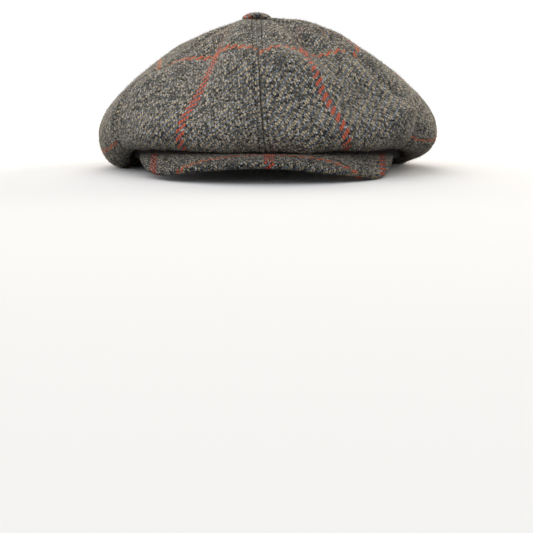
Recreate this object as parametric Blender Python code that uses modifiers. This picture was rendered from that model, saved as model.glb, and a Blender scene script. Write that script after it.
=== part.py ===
"""Six-panel baker-boy cap, lying as it rests by itself on a flat surface.

Metres, +Z up. The front of the cap faces -Y and +X is to the right of someone who looks at it from
the front. The surface is at z = 0, and the origin is on it, below the middle of the cap.
"""

import functools
import math

import bmesh
import bpy

MM = 0.001

# Opening for the head, an oval, and the upright band round it
HEAD_HALF_WIDTH = 80 * MM
HEAD_HALF_LENGTH = 100 * MM
HEAD_CENTRE_Y = 9.5 * MM
BAND_WALL = 3 * MM
BAND_HEIGHT = 24 * MM
BAND_BACK_LIFT = 1 * MM
BAND_TILT = math.radians(2.6)
BAND_SEGMENTS = 72

# Gaps that are left where two sewn pieces meet
SEAM_GAP = 0.3 * MM
BAND_GAP = 0.6 * MM
BUTTON_GAP = 0.3 * MM

# Crown: six gores of cloth from the button out to the rim, under it and back up to the band
CLOTH_WALL = 2 * MM
CROWN_RISE = 60.9 * MM
CROWN_OVERHANG = 20 * MM
APEX_X = -5.9 * MM
APEX_FORWARD = 15 * MM
APEX_HOLE = 2.5 * MM
MERGE_DISTANCE = 0.01 * MM
HEM_CLEARANCE = 0.8 * MM
FLOOR_PRESS = 1.5 * MM
ROLL_OUTER_SHARE = 0.70
SEAM_SINK = 1.2 * MM
SEAM_VALLEY = 7 * MM
SEAM_FADE = 28 * MM

# One row for each section of the crown. Azimuths are in degrees round the button from the front
# towards +X. Overhang is a share of CROWN_OVERHANG, and rim is the height of the widest point as a
# share of the height of the band's top. High, mid and low are the heights of the dome at
# DOME_STATIONS, as shares of its rise above the rim. Hem is the height of the roll's underside as a
# share of the height of the peak's top.
SECTION_COLUMNS = ("azimuth", "overhang", "rim", "high", "mid", "low", "hem")
CROWN_SECTIONS = (
    (-150, 0.95, 0.52, 0.93, 0.73, 0.46, 0.00),
    (-120, 1.00, 0.58, 0.91, 0.70, 0.43, 0.00),
    (-92, 1.02, 0.67, 0.885, 0.645, 0.355, 0.12),
    (-77, 0.95, 0.73, 0.88, 0.63, 0.38, 0.55),
    (-62, 0.84, 0.79, 0.88, 0.62, 0.45, 0.92),
    (-45, 0.75, 0.82, 0.89, 0.59, 0.36, 1.00),
    (-26, 0.66, 0.82, 0.91, 0.58, 0.26, 1.00),
    (0, 0.48, 0.79, 0.94, 0.71, 0.37, 1.00),
    (28, 0.78, 0.79, 0.93, 0.66, 0.31, 1.00),
    (42, 0.84, 0.86, 0.93, 0.66, 0.285, 1.00),
    (54, 1.10, 1.22, 0.925, 0.60, 0.18, 0.99),
    (66, 0.84, 0.92, 0.94, 0.675, 0.29, 0.93),
    (78, 1.03, 0.73, 0.96, 0.715, 0.39, 0.75),
    (95, 1.06, 0.70, 0.96, 0.72, 0.40, 0.48),
    (120, 0.97, 0.61, 0.95, 0.74, 0.45, 0.05),
    (150, 0.92, 0.52, 0.95, 0.75, 0.47, 0.00),
    (180, 0.88, 0.49, 0.94, 0.75, 0.47, 0.00),
)
DOME_STATIONS = (0.30, 0.60, 0.85)

# One row for each seam, with its azimuth at the button and at the hem
SEAM_COLUMNS = ("name", "top", "hem")
SEAMS = (
    ("centre", 0.0, 3.5),
    ("right", 60.0, 66.0),
    ("rear_right", 120.0, 120.0),
    ("rear", 180.0, 180.0),
    ("rear_left", 240.0, 240.0),
    ("left", 298.0, 295.0),
)
PANELS = (
    ("panel_front_right", "centre", "right"),
    ("panel_side_right", "right", "rear_right"),
    ("panel_rear_right", "rear_right", "rear"),
    ("panel_rear_left", "rear", "rear_left"),
    ("panel_side_left", "rear_left", "left"),
    ("panel_front_left", "left", "centre"),
)

# One row for each soft dent, or for a soft ridge where the depth is below zero. Azimuth and breadth
# are in degrees, reach and length are shares of the way out to the rim, lean is how many degrees the
# middle turns over the whole way out, and depth is a share of CROWN_RISE.
DENT_COLUMNS = ("azimuth", "breadth", "reach", "length", "lean", "depth")
DENTS = (
    (37, 11.4, 0.46, 0.30, -13, 0.107),
    (30, 7.4, 0.54, 0.235, 8, -0.023),
    (16, 22, 0.72, 0.125, 10, -0.089),
    (-29, 13, 0.53, 0.14, -14, 0.041),
    (-37, 9.7, 0.44, 0.14, -11, 0.036),
    (-19, 9, 0.50, 0.13, 13, -0.072),
)

PANEL_COLUMNS = 12
EDGE_CROWDING = 0.4
DOME_ROWS = 13
ROLL_ROWS = 4
RETURN_ROWS = 1

# Peak: a stiff crescent covered in the same cloth, sewn along the foot of the band
PEAK_WALL = 3.5 * MM
PEAK_GAP = 0.4 * MM
PEAK_REACH = 37 * MM
PEAK_FLARE = 2.3 * MM
PEAK_ROOT_SPREAD = math.radians(58)
PEAK_CORNER = 2.2
PEAK_FALL = 11.5 * MM
PEAK_BOW = 1.7
PEAK_EDGE_ROUND = 1.2 * MM
PEAK_ACROSS = 28
PEAK_ALONG = 5

# One row for each place along the peak's free edge, from the left tip at -1 to the right tip at 1,
# with how far the edge hangs below the plane of the band's foot as a share of PEAK_FALL
EDGE_COLUMNS = ("place", "fall")
PEAK_EDGE = (
    (-1.00, 0.00),
    (-0.85, 0.24),
    (-0.70, 0.66),
    (-0.55, 0.78),
    (-0.30, 0.54),
    (0.00, 0.36),
    (0.30, 0.66),
    (0.55, 0.97),
    (0.70, 0.90),
    (0.85, 0.34),
    (1.00, 0.00),
)

# Covered button
BUTTON_RADIUS = 8.2 * MM
BUTTON_FOOT_SHARE = 0.75
BUTTON_SIDE_SHARE = 0.35
BUTTON_DIMPLE = 1.6 * MM
DIMPLE_RATIO = 1.5
BUTTON_HEIGHT = 4.6 * MM
BUTTON_RINGS = 6
BUTTON_STEPS = 32

TWEED = (0.115, 0.112, 0.096)
TWEED_DARK = (0.075, 0.078, 0.080)
CLOTH_ROUGHNESS = 0.95


def start_scene():
    """Empty the scene and return a collection for the cap."""
    for item in list(bpy.data.objects):
        bpy.data.objects.remove(item, do_unlink=True)
    collection = bpy.data.collections.new("baker_boy_cap")
    bpy.context.scene.collection.children.link(collection)
    return collection


def add_object(collection, name, mesh, colour):
    """Link a mesh as a named object with a cloth material of its own."""
    material = bpy.data.materials.new(name + "_cloth")
    material.use_nodes = True
    shader = material.node_tree.nodes["Principled BSDF"]
    shader.inputs["Base Color"].default_value = (*colour, 1.0)
    shader.inputs["Roughness"].default_value = CLOTH_ROUGHNESS
    shader.inputs["Metallic"].default_value = 0.0
    mesh.materials.append(material)
    mesh.shade_smooth()
    item = bpy.data.objects.new(name, mesh)
    collection.objects.link(item)
    return item


def add_wall(item, thickness, offset):
    """Give an open surface its thickness, inwards for -1 and outwards for 1."""
    wall = item.modifiers.new("wall", "SOLIDIFY")
    wall.thickness = thickness
    wall.offset = offset
    wall.use_even_offset = True
    wall.use_quality_normals = True


def grid_mesh(name, rows):
    """Make an open surface from rows of points, all of the same length."""
    mesh = bpy.data.meshes.new(name)
    width = len(rows[0])
    points = [point for row in rows for point in row]
    faces = []
    for i in range(len(rows) - 1):
        for j in range(width - 1):
            corner = i * width + j
            faces.append((corner, corner + 1, corner + width + 1, corner + width))
    mesh.from_pydata(points, [], faces)
    mesh.update()
    return mesh


def smooth_value(knots, place):
    """Read a value from (place, value) knots by a smooth curve, with one spare knot at each end."""
    k = max(i for i in range(1, len(knots) - 2) if knots[i][0] <= place)
    (a0, v0), (a1, v1), (a2, v2), (a3, v3) = knots[k - 1 : k + 3]
    span = a2 - a1
    slope1 = (v2 - v0) / (a2 - a0) * span
    slope2 = (v3 - v1) / (a3 - a1) * span
    t = (place - a1) / span
    rise = 3 * t**2 - 2 * t**3
    return v1 + (v2 - v1) * rise + slope1 * (t - 2 * t**2 + t**3) + slope2 * (t**3 - t**2)


def section_value(column, azimuth):
    """Read one column of CROWN_SECTIONS at any azimuth, all the way round."""
    index = SECTION_COLUMNS.index(column)
    knots = [(row[0], row[index]) for row in CROWN_SECTIONS]
    knots = [(a - 360, v) for a, v in knots[-2:]] + knots + [(a + 360, v) for a, v in knots[:2]]
    angle = (azimuth - knots[1][0]) % 360 + knots[1][0]
    return smooth_value(knots, angle)


def band_foot(y):
    """Height of the band's lower edge, a plane that rises towards the front."""
    back_y = HEAD_CENTRE_Y + HEAD_HALF_LENGTH + BAND_WALL
    return BAND_BACK_LIFT + (back_y - y) * math.tan(BAND_TILT)


def band_top(y):
    """Height of the band's upper edge."""
    return band_foot(y) + BAND_HEIGHT / math.cos(BAND_TILT)


def band_centre_y(z):
    """Where the band's leaning axis crosses height z."""
    return HEAD_CENTRE_Y + (z - band_foot(HEAD_CENTRE_Y)) * math.tan(BAND_TILT)


def apex_y():
    """The button sits a little in front of the middle of the head."""
    return HEAD_CENTRE_Y - APEX_FORWARD


def crown_top():
    """Height of the crown's outer face at the button's axis, before the button presses it in."""
    return band_top(HEAD_CENTRE_Y) + CROWN_RISE


def reach_to_band(azimuth, z, gap):
    """Distance from the button's axis to the band's outer face plus a gap, at height z."""
    angle = math.radians(azimuth)
    half_x = HEAD_HALF_WIDTH + BAND_WALL + gap
    half_y = HEAD_HALF_LENGTH + BAND_WALL + gap
    step_x = math.sin(angle) / half_x
    step_y = -math.cos(angle) / half_y
    from_x = APEX_X / half_x
    from_y = (apex_y() - band_centre_y(z)) / half_y
    a = step_x**2 + step_y**2
    b = 2 * (from_x * step_x + from_y * step_y)
    c = from_x**2 + from_y**2 - 1
    return (-b + math.sqrt(b * b - 4 * a * c)) / (2 * a)


def peak_root_top():
    """Height of the peak's upper face where it is sewn on, at the middle of the front."""
    front_y = HEAD_CENTRE_Y - HEAD_HALF_LENGTH - BAND_WALL
    return band_foot(front_y) + PEAK_WALL


def hem_height(azimuth):
    """Height of the underside of the crown's roll, pressed a little below the floor where it rests."""
    share = section_value("hem", azimuth)
    return share * (peak_root_top() + HEM_CLEARANCE) - (1 - share) * FLOOR_PRESS


def dome_height(azimuth, turn):
    """Height on the dome as a share of its rise, where the reach is the sine of turn."""
    angles = [math.asin(share) for share in DOME_STATIONS]
    heights = [section_value(column, azimuth) for column in ("high", "mid", "low")]
    knots = [(0.0, 1.0), *zip(angles, heights), (math.pi / 2, 0.0)]
    before = (-angles[0], heights[0])
    after = (math.pi - angles[-1], -heights[-1])
    return smooth_value([before, *knots, after], turn)


@functools.lru_cache(maxsize=None)
def meridian(azimuth):
    """Section of the crown's outer face from the button to the band, as (reach, height) points."""
    rim_z = section_value("rim", azimuth) * band_top(HEAD_CENTRE_Y)
    hem_z = hem_height(azimuth)
    overhang = section_value("overhang", azimuth) * CROWN_OVERHANG
    outer = overhang * ROLL_OUTER_SHARE
    inner = overhang - outer
    end_y = apex_y() - reach_to_band(azimuth, hem_z, BAND_GAP) * math.cos(math.radians(azimuth))
    end_z = band_top(end_y)
    lift = min(overhang / 2, (end_z - hem_z) / 2)
    rim = reach_to_band(azimuth, hem_z + lift, BAND_GAP) + overhang

    start = math.asin(APEX_HOLE / rim)
    points = []
    for i in range(DOME_ROWS):
        turn = start + (math.pi / 2 - start) * i / DOME_ROWS
        height = dome_height(azimuth, turn)
        points.append((rim * math.sin(turn), rim_z + (crown_top() - rim_z) * height))

    for i in range(ROLL_ROWS):
        turn = math.pi / 2 * i / ROLL_ROWS
        points.append((rim - outer + outer * math.cos(turn),
                       rim_z - (rim_z - hem_z) * math.sin(turn)))

    for i in range(ROLL_ROWS):
        turn = math.pi / 2 * i / ROLL_ROWS
        points.append((rim - outer - inner * math.sin(turn),
                       hem_z + lift * (1 - math.cos(turn))))

    for i in range(RETURN_ROWS + 1):
        z = hem_z + lift + (end_z - hem_z - lift) * i / RETURN_ROWS
        points.append((reach_to_band(azimuth, z, BAND_GAP), z))
    return points


def dent_depth(azimuth, share):
    """How far the soft dents push the dome in at one place, in metres."""
    depth = 0.0
    for row in DENTS:
        dent = dict(zip(DENT_COLUMNS, row))
        middle = dent["azimuth"] + dent["lean"] * (share - dent["reach"])
        across = ((azimuth - middle + 180) % 360 - 180) / dent["breadth"]
        along = (share - dent["reach"]) / dent["length"]
        depth += dent["depth"] * CROWN_RISE * math.exp(-across**2 - along**2)
    return depth


def button_dimple(reach):
    """How far the button presses the crown in, at one distance from its axis."""
    return BUTTON_DIMPLE * math.exp(-((reach / (DIMPLE_RATIO * BUTTON_RADIUS)) ** 2))


def crown_point(azimuth, from_seam, i):
    """Point i of the section at one azimuth, pressed in along the seams and at the dents.

    from_seam gives the angle in degrees to the nearest seam.
    """
    section = meridian(azimuth)
    reach, z = section[i]
    before = section[max(i - 1, 0)]
    after = section[min(i + 1, len(section) - 1)]
    run = after[0] - before[0]
    fall = before[1] - after[1]
    length = math.hypot(run, fall)
    distance = math.radians(from_seam) * reach
    fade = min(1.0, reach / SEAM_FADE) * max(0.0, min(1.0, 1 + (DOME_ROWS - i) / ROLL_ROWS))
    sink = fade * SEAM_SINK * math.exp(-((distance / SEAM_VALLEY) ** 2))
    if i < DOME_ROWS:
        rim = max(point[0] for point in section)
        sink += dent_depth(azimuth, reach / rim) + button_dimple(reach)
    reach -= sink * fall / length
    z = max(0.0, z - sink * run / length)
    angle = math.radians(azimuth)
    return (APEX_X + reach * math.sin(angle), apex_y() - reach * math.cos(angle), z)


def make_panel(collection, name, first, last):
    """Make one gore between two seams, an open surface with the thickness of the cloth."""
    seams = {row[0]: dict(zip(SEAM_COLUMNS, row)) for row in SEAMS}
    left, right = seams[first], seams[last]
    turn = 360 if right["top"] <= left["top"] else 0
    rows = DOME_ROWS + 2 * ROLL_ROWS + RETURN_ROWS + 1
    columns = []
    for j in range(PANEL_COLUMNS + 1):
        share = j / PANEL_COLUMNS
        share -= EDGE_CROWDING * math.sin(2 * math.pi * share) / (2 * math.pi)
        top = left["top"] + (right["top"] + turn - left["top"]) * share
        hem = left["hem"] + (right["hem"] + turn - left["hem"]) * share
        from_seam = min(share, 1 - share) * (right["top"] + turn - left["top"])
        column = []
        for i in range(rows):
            along = min(1.0, i / (DOME_ROWS + ROLL_ROWS))
            azimuth = top + (hem - top) * along
            column.append(crown_point(azimuth, from_seam, i))
        columns.append(column)
    trim_edge(columns[0], columns[1])
    trim_edge(columns[-1], columns[-2])
    item = add_object(collection, name, grid_mesh(name, columns), TWEED)
    add_wall(item, CLOTH_WALL, -1)
    return item


def trim_edge(edge, inner):
    """Move a gore's edge back by half the seam's gap."""
    for i, (point, beside) in enumerate(zip(edge, inner)):
        length = math.dist(point, beside)
        share = SEAM_GAP / 2 / length
        edge[i] = tuple(a + (b - a) * share for a, b in zip(point, beside))


def make_band(collection):
    """Make the band, an upright oval ring that leans with the cap."""
    work = bmesh.new()
    rings = []
    for level in (0, 1):
        ring = []
        for k in range(BAND_SEGMENTS):
            angle = 2 * math.pi * k / BAND_SEGMENTS
            rise = level * BAND_HEIGHT
            x = HEAD_HALF_WIDTH * math.sin(angle)
            y = -HEAD_HALF_LENGTH * math.cos(angle)
            foot_z = band_foot(HEAD_CENTRE_Y)
            point = (x,
                     HEAD_CENTRE_Y + y * math.cos(BAND_TILT) + rise * math.sin(BAND_TILT),
                     foot_z - y * math.sin(BAND_TILT) + rise * math.cos(BAND_TILT))
            ring.append(work.verts.new(point))
        rings.append(ring)
    for k in range(BAND_SEGMENTS):
        after = (k + 1) % BAND_SEGMENTS
        work.faces.new((rings[0][k], rings[0][after], rings[1][after], rings[1][k]))
    mesh = bpy.data.meshes.new("band")
    work.to_mesh(mesh)
    work.free()
    item = add_object(collection, "band", mesh, TWEED_DARK)
    add_wall(item, BAND_WALL, 1)
    return item


def peak_fall(place):
    """How far the peak's free edge hangs below the plane of the band's foot."""
    (first, low), (last, high) = PEAK_EDGE[0], PEAK_EDGE[-1]
    knots = [(2 * first - PEAK_EDGE[1][0], low), *PEAK_EDGE, (2 * last - PEAK_EDGE[-2][0], high)]
    return smooth_value(knots, place) * PEAK_FALL


def peak_line(place):
    """One line of points across the peak's upper face, from its root out to its free edge."""
    half_x = HEAD_HALF_WIDTH + BAND_WALL + PEAK_GAP
    half_y = HEAD_HALF_LENGTH + BAND_WALL + PEAK_GAP
    root_x = half_x * math.sin(place * PEAK_ROOT_SPREAD)
    root_y = -half_y * math.cos(place * PEAK_ROOT_SPREAD)
    tip_x = half_x * math.sin(PEAK_ROOT_SPREAD) + PEAK_FLARE
    tip_y = -half_y * math.cos(PEAK_ROOT_SPREAD)
    front_y = PEAK_GAP - half_y - PEAK_REACH
    turn = math.radians(90) * place
    side = math.copysign(abs(math.sin(turn)) ** (2 / PEAK_CORNER), place)
    edge_x = tip_x * side
    edge_y = tip_y + (front_y - tip_y) * max(0.0, math.cos(turn)) ** (2 / PEAK_CORNER)
    points = []
    for i in range(PEAK_ALONG + 1):
        share = i / PEAK_ALONG
        x = root_x + (edge_x - root_x) * share
        y = HEAD_CENTRE_Y + root_y + (edge_y - root_y) * share
        z = band_foot(y) + PEAK_WALL - peak_fall(place) * share**PEAK_BOW
        points.append((x, y, z))
    return points


def make_peak(collection):
    """Make the peak, a stiff crescent that arches down at its sides, with a rounded edge."""
    lines = [peak_line(2 * j / PEAK_ACROSS - 1) for j in range(PEAK_ACROSS + 1)]
    item = add_object(collection, "peak", grid_mesh("peak", lines), TWEED)
    add_wall(item, PEAK_WALL, -1)
    rounding = item.modifiers.new("rounding", "BEVEL")
    rounding.width = PEAK_EDGE_ROUND
    rounding.segments = 2
    rounding.limit_method = "ANGLE"
    rounding.angle_limit = math.radians(50)
    return item


def make_button(collection):
    """Make the button, a low turned dome on the apex of the crown."""
    profile = bpy.data.meshes.new("button")
    foot_radius = BUTTON_RADIUS * BUTTON_FOOT_SHARE
    foot = crown_top() - button_dimple(foot_radius) + BUTTON_GAP
    points = [(0.0, 0.0, foot + BUTTON_HEIGHT)]
    for i in range(1, BUTTON_RINGS + 1):
        turn = math.pi / 2 * i / BUTTON_RINGS
        share = BUTTON_SIDE_SHARE + (1 - BUTTON_SIDE_SHARE) * math.cos(turn)
        points.append((BUTTON_RADIUS * math.sin(turn), 0.0, foot + BUTTON_HEIGHT * share))
    points.append((foot_radius, 0.0, foot))
    points.append((0.0, 0.0, foot))
    profile.from_pydata(points, [(i, i + 1) for i in range(len(points) - 1)], [])
    item = add_object(collection, "button", profile, TWEED)
    item.location = (APEX_X, apex_y(), 0.0)
    turned = item.modifiers.new("turned", "SCREW")
    turned.steps = BUTTON_STEPS
    turned.render_steps = BUTTON_STEPS
    turned.use_merge_vertices = True
    turned.merge_threshold = MERGE_DISTANCE
    return item


def build_cap():
    """Build the cap piece by piece."""
    collection = start_scene()
    for name, first, last in PANELS:
        make_panel(collection, name, first, last)
    make_band(collection)
    make_peak(collection)
    make_button(collection)


build_cap()
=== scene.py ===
"""A six-gore baker-boy cap in checked wool tweed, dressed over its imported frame.

Metres, +Z up. The cap's front faces -Y, and +X is on the right as the front is seen. The script
follows the cap as it is sewn: gores, band, peak, button, topstitching, nap, and then the studio.
"""

import math
from functools import partial

import bmesh
import bpy
import numpy as np
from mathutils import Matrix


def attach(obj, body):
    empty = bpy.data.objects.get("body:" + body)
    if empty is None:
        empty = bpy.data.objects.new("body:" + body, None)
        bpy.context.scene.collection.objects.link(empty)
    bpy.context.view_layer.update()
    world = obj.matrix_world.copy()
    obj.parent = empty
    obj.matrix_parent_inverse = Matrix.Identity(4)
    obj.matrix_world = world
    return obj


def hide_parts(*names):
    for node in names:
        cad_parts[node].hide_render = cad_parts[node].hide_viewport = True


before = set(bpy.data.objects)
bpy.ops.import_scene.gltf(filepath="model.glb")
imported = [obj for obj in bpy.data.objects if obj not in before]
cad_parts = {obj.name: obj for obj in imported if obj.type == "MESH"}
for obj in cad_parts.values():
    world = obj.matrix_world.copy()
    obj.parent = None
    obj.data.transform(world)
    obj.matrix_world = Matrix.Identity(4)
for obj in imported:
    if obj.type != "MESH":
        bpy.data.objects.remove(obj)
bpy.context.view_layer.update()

# ---- Crown gores -------------------------------------------------------------
# Six gores of wool tweed, cut on one place of the check and sewn point to point under the button.
# Each is one layer of cloth that puffs out past the band, rolls in at the rim and comes back up to
# the band, where it is sewn in. Soft dents lie where the loose cloth has sunk.

MM = 0.001

HEAD_HALF_WIDTH = 80 * MM
HEAD_HALF_LENGTH = 100 * MM
HEAD_CENTRE_Y = 9.5 * MM
BAND_WALL = 3 * MM
BAND_HEIGHT = 24 * MM
BAND_BACK_LIFT = 1 * MM
BAND_TILT = math.radians(2.6)
BAND_GAP = 0.6 * MM

CLOTH_WALL = 1.8 * MM
CROWN_RISE = 60.9 * MM
CROWN_OVERHANG = 20 * MM
APEX_X = -5.9 * MM
APEX_Y = HEAD_CENTRE_Y - 15 * MM
APEX_HOLE = 2.5 * MM
HEM_CLEARANCE = 0.8 * MM
FLOOR_PRESS = 1.5 * MM
PEAK_WALL = 3.5 * MM
ROLL_OUTER_SHARE = 0.70
POINT_RISE = 1.1 * MM
POINT_REACH = 15 * MM

# The dome leans over the first 13 of 17 steps from the button to the hem, as the seams do
DOME_STEPS = 13
ROLL_STEPS = 4

# One row for each section round the button: azimuth in degrees from the front towards +X, overhang
# as a share of CROWN_OVERHANG, rim height as a share of the band's top, dome heights at
# DOME_STATIONS as shares of the rise, and hem height as a share of the peak's top.
SECTION_COLUMNS = ("azimuth", "overhang", "rim", "high", "mid", "low", "hem")
CROWN_SECTIONS = (
    (-150, 0.95, 0.52, 0.93, 0.73, 0.46, 0.00),
    (-120, 1.00, 0.58, 0.91, 0.70, 0.43, 0.00),
    (-92, 1.03, 0.67, 0.885, 0.66, 0.355, 0.12),
    (-77, 0.96, 0.73, 0.88, 0.64, 0.38, 0.55),
    (-62, 0.84, 0.79, 0.88, 0.62, 0.45, 0.92),
    (-45, 0.75, 0.82, 0.89, 0.59, 0.36, 1.00),
    (-26, 0.66, 0.82, 0.91, 0.58, 0.26, 1.00),
    (0, 0.48, 0.79, 0.94, 0.71, 0.37, 1.00),
    (28, 0.78, 0.79, 0.93, 0.66, 0.31, 1.00),
    (42, 0.84, 0.86, 0.93, 0.66, 0.285, 1.00),
    (54, 1.10, 1.22, 0.925, 0.60, 0.18, 0.99),
    (66, 0.84, 0.92, 0.94, 0.675, 0.29, 0.93),
    (78, 1.06, 0.73, 0.96, 0.715, 0.395, 0.75),
    (95, 1.09, 0.70, 0.96, 0.72, 0.405, 0.48),
    (120, 0.97, 0.61, 0.95, 0.74, 0.45, 0.05),
    (150, 0.92, 0.52, 0.95, 0.75, 0.47, 0.00),
    (180, 0.88, 0.49, 0.94, 0.75, 0.47, 0.00),
)
DOME_STATIONS = (0.30, 0.60, 0.85)

# One row for each gore: its seams' azimuths at the button and at the hem, how far its warp stripe
# lies from its middle and its weft line from the button, both in millimetres, and how far steaming
# over the block has slanted its warp and shrunk its length. The slant eases off at SLANT_REACH.
GORE_COLUMNS = ("name", "left_top", "left_hem", "right_top", "right_hem",
                "stripe", "line", "slant", "shrink")
GORES = (
    ("front_right", 0, 3.5, 60, 66, -3.0, 62.4, -0.36, 1.0),
    ("side_right", 60, 66, 120, 120, -8, 64, 0.25, 0.77),
    ("rear_right", 120, 120, 180, 180, -3, 60, 0, 0.9),
    ("rear_left", 180, 180, 240, 240, 4, 60, 0, 0.9),
    ("side_left", 240, 240, 298, 295, -6, 64.5, 0, 0.71),
    ("front_left", 298, 295, 360, 363.5, 3.3, 56, 0.25, 1.0),
)
SLANT_REACH = 95 * MM

# One row for each soft dent, or ridge where the depth is below zero: azimuth and breadth in
# degrees, reach and length as shares of the way to the rim, lean in degrees over it, depth in mm
DENT_COLUMNS = ("azimuth", "breadth", "reach", "length", "lean", "depth")
DENTS = (
    (3, 30, 0.07, 0.08, 0, 1.7),
    (37, 11.4, 0.46, 0.30, -13, 6.5),
    (30, 7.4, 0.54, 0.235, 8, -1.4),
    (16, 22, 0.72, 0.125, 10, -5.4),
    (-29, 13, 0.53, 0.14, -14, 2.5),
    (-37, 9.7, 0.44, 0.14, -11, 2.2),
    (-19, 9, 0.50, 0.13, 13, -4.4),
)

# One row for each place where the puffed cloth tucks in beside a side seam, low on the crown. Its
# place and length down the crown are stages, as crown_section() has them.
TUCK_COLUMNS = ("azimuth", "breadth", "stage", "length", "depth")
TUCKS = (
    (66, 3.4, 1.15, 0.60, 3.0),
    (-57, 6.0, 1.15, 0.30, 1.5),
)

# The seams lie in a shallow valley with a tight crease at its foot. Two rows of topstitching press
# narrow grooves into the cloth beside it, with a small dimple at each stitch. Towards the button
# the crease is shallower, down to CREASE_LEAST of its depth.
SEAM_SINK = 1.2 * MM
SEAM_VALLEY = 7 * MM
SEAM_FADE = 28 * MM
CREASE_SINK = 1.4 * MM
CREASE_HALF = 0.55 * MM
CREASE_LEAST = 0.3
CREASE_LEAD = 0.2
SEAM_GAP = 0.16 * MM
TOPSTITCH_AWAY = 2.7 * MM
TOPSTITCH_PITCH = 3.0 * MM
GROOVE_SINK = 0.75 * MM
GROOVE_HALF = 0.8 * MM
STITCH_DIMPLE = 0.35

# Slow unevenness of wool cloth that has been worn: wavelengths and height in mm, turn in radians
RIPPLE_COLUMNS = ("across", "down", "turn", "height")
RIPPLES = (
    (47, 61, 0.4, 0.35),
    (31, -38, 1.9, 0.25),
    (-23, 29, 4.1, 0.16),
    (15, 19, 2.6, 0.08),
)

# The tweed's yarns are 1.27 mm apart, of two plies that turn once in 1 / PLY_TWIST yarn widths.
# Its overcheck is four warp ends wide and three weft picks high, and comes back after so many ends
# and so many picks.
YARN_PITCH = 1.27 * MM
STRIPE_ENDS, ENDS_REPEAT = 4, 54
STRIPE_PICKS, PICKS_REPEAT = 3, 78
PLY_TWIST = 0.5

# Above its weft line a gore's warp stripe fades: from so far above the line on, over so long a run,
# by up to so much of its colour
STRIPE_FADE_FROM = 6 * MM
STRIPE_FADE_RUN = 10 * MM
STRIPE_FADE_MOST = 0.86

# How far the yarns stray from their rows, in yarn widths, and how quickly that changes
YARN_STRAY = 0.9
STRAY_SCALES = (0.37, 0.31)

# A float's height: the shares from its bow and its round back, and what is left between its plies
FLOAT_BOW = 0.6
FLOAT_DOME = 0.7
PLY_GROOVE = 0.36

# The tone of mixed wool: how it jumps from yarn to yarn, how quickly it changes along one, and its
# contrast as a factor and an offset. The weft has pale flecks as well.
WARP_JUMP, WEFT_JUMP, FLECK_JUMP = 7.31, 5.17, 3.7
TONE_ALONG, FLECK_ALONG = 0.45, 0.9
TONE_RAMP = (3.4, -1.25)
FLECK_RAMP = (9.0, -5.0)

# Fibres roughen each yarn, finer across it than along it. What lies deep in the weave is painted
# darker, as painted shade between the yarns: WEAVE_DEPTH for each unit of height, over the light
# that WEAVE_COVER lets in all the same.
FIBRE_FINENESS = (5.0, 1.4)
FIBRE_RELIEF = 1.1
WEAVE_DEPTH = 1.45
WEAVE_COVER = 0.09
WEAVE_DARKEST = 0.1

# The cells of a gore's mesh, which crowd towards its seams
GORE_CELLS_ACROSS = 88
EDGE_CROWDING = 0.62
DOME_ROWS = 118
ROLL_ROWS = 22
RETURN_ROWS = 4


def smooth_value(places, values, place):
    """Read values at an array of places by a smooth curve, with one spare knot at each end."""
    knot = np.clip(np.searchsorted(places, place, side="right") - 1, 1, len(places) - 3)
    column = np.arange(place.size).reshape(place.shape)
    v0, v1, v2, v3 = (values[knot + i, column] if values.ndim > 1 else values[knot + i]
                      for i in (-1, 0, 1, 2))
    a0, a1, a2, a3 = (places[knot + i] for i in (-1, 0, 1, 2))
    t = (place - a1) / (a2 - a1)
    slope1 = (v2 - v0) / (a2 - a0) * (a2 - a1)
    slope2 = (v3 - v1) / (a3 - a1) * (a2 - a1)
    rise = 3 * t**2 - 2 * t**3
    return v1 + (v2 - v1) * rise + slope1 * (t - 2 * t**2 + t**3) + slope2 * (t**3 - t**2)


def section_value(column, azimuth):
    """Read one column of CROWN_SECTIONS at an array of azimuths, all the way round."""
    table = np.array(CROWN_SECTIONS)
    index = SECTION_COLUMNS.index(column)
    places = np.concatenate([table[-2:, 0] - 360, table[:, 0], table[:2, 0] + 360])
    values = np.concatenate([table[-2:, index], table[:, index], table[:2, index]])
    return smooth_value(places, values, (azimuth - places[1]) % 360 + places[1])


def band_foot(y):
    """Height of the band's lower edge, a plane that rises towards the front."""
    back_y = HEAD_CENTRE_Y + HEAD_HALF_LENGTH + BAND_WALL
    return BAND_BACK_LIFT + (back_y - y) * math.tan(BAND_TILT)


def band_top(y):
    """Height of the band's upper edge."""
    return band_foot(y) + BAND_HEIGHT / math.cos(BAND_TILT)


def reach_to_band(azimuth, z):
    """Distance from the button's axis to just outside the band, at height z."""
    angle = np.radians(azimuth)
    centre_y = HEAD_CENTRE_Y + (z - band_foot(HEAD_CENTRE_Y)) * math.tan(BAND_TILT)
    half_x = HEAD_HALF_WIDTH + BAND_WALL + BAND_GAP
    half_y = HEAD_HALF_LENGTH + BAND_WALL + BAND_GAP
    step_x, step_y = np.sin(angle) / half_x, -np.cos(angle) / half_y
    from_x, from_y = APEX_X / half_x, (APEX_Y - centre_y) / half_y
    a = step_x**2 + step_y**2
    b = 2 * (from_x * step_x + from_y * step_y)
    c = from_x**2 + from_y**2 - 1
    return (-b + np.sqrt(b * b - 4 * a * c)) / (2 * a)


CROWN_TOP = band_top(HEAD_CENTRE_Y) + CROWN_RISE
PEAK_TOP = band_foot(HEAD_CENTRE_Y - HEAD_HALF_LENGTH - BAND_WALL) + PEAK_WALL


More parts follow.
